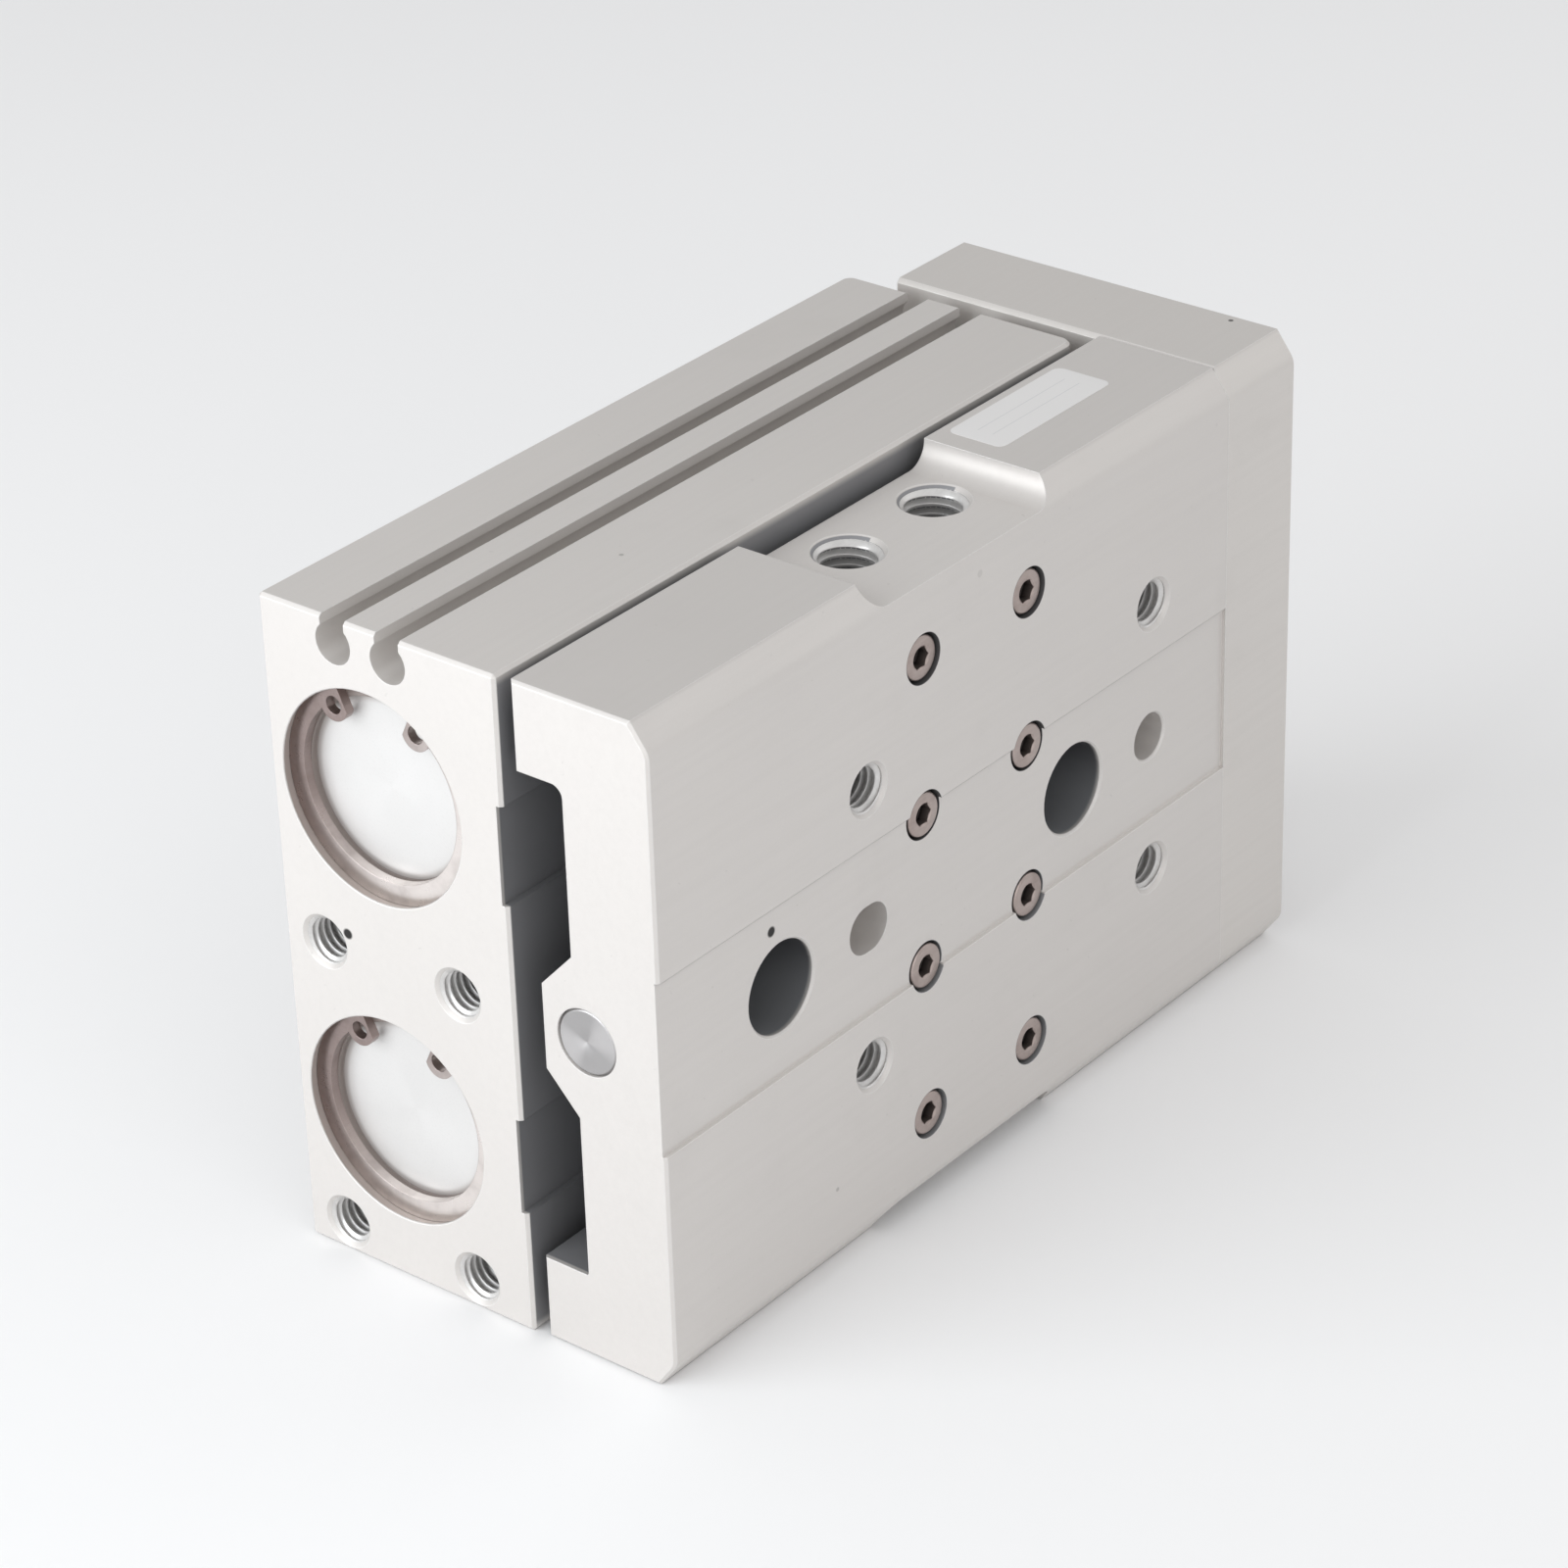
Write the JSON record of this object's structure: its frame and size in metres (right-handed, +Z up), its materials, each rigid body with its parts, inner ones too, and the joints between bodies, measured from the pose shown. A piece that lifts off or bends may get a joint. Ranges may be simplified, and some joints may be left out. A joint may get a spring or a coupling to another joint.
{
  "type": "pneumatic slide table",
  "caption": "Compact air-driven slide: twin-bore cylinder body with two recirculating-ball rails that carry a flat mounting table and end plate.",
  "frame": {"origin": "centre of the footprint at the ground, with the table closed and the unit standing on its long side", "axes": "+X along the stroke from the rear face to the end plate, +Y from the table's main face to the body's back face, +Z up"},
  "size_m": [0.123, 0.055, 0.0845],
  "materials": {
    "anodised_aluminium": "satin clear anodised",
    "anodised_table": "satin clear anodised, ground main face",
    "anodised_cover": "clear anodised, turned",
    "rail_steel": "dark hardened steel",
    "carriage_steel": "ground hardened steel",
    "ball_steel": "polished bearing steel",
    "rod_steel": "hard chromed, ground",
    "ring_steel": "browned spring steel",
    "screw_steel": "dark zinc plated",
    "pin_steel": "turned steel",
    "rubber_black": "nitrile rubber",
    "cap_plastic": "black moulded plastic",
    "wear_plastic": "white filled acetal",
    "bush_bronze": "sintered bronze",
    "magnet_grey": "bonded magnet"
  },
  "bodies": {
    "body": {"cylinder_body": "anodised_aluminium", "cover_o_rings": "rubber_black", "bumpers": "rubber_black", "rod_seals": "rubber_black", "guide_rail_upper": "rail_steel", "rail_screws_upper": "screw_steel", "rear_cover_upper": "anodised_cover", "rod_cover_upper": "anodised_cover", "retaining_rings_upper": "ring_steel", "rod_bush_upper": "bush_bronze", "guide_rail_lower": "rail_steel", "rail_screws_lower": "screw_steel", "rear_cover_lower": "anodised_cover", "rod_cover_lower": "anodised_cover", "retaining_rings_lower": "ring_steel", "rod_bush_lower": "bush_bronze"},
    "table": {"end_plate": "anodised_table", "slide_table": "anodised_table", "end_plate_screws": "screw_steel", "rod_screws": "screw_steel", "rod_washers": "pin_steel", "float_bushes": "pin_steel", "rear_pin": "pin_steel", "piston_seals": "rubber_black", "piston_magnets": "magnet_grey", "wear_rings": "wear_plastic", "piston_nuts": "screw_steel", "piston_upper": "anodised_cover", "piston_rod_upper": "rod_steel", "stop_tube_upper": "anodised_cover", "carriage_upper": "carriage_steel", "end_cap_upper_rear": "cap_plastic", "end_cap_upper_front": "cap_plastic", "end_seals_upper": "rubber_black", "balls_upper": "ball_steel", "carriage_screws_upper": "screw_steel", "piston_lower": "anodised_cover", "piston_rod_lower": "rod_steel", "stop_tube_lower": "anodised_cover", "carriage_lower": "carriage_steel", "end_cap_lower_rear": "cap_plastic", "end_cap_lower_front": "cap_plastic", "end_seals_lower": "rubber_black", "balls_lower": "ball_steel", "carriage_screws_lower": "screw_steel"}
  },
  "joints": [
    {"name": "table_slide", "type": "slide", "parent": "body", "child": "table", "axis": [1, 0, 0], "range_m": [0, 0.01]}
  ]
}
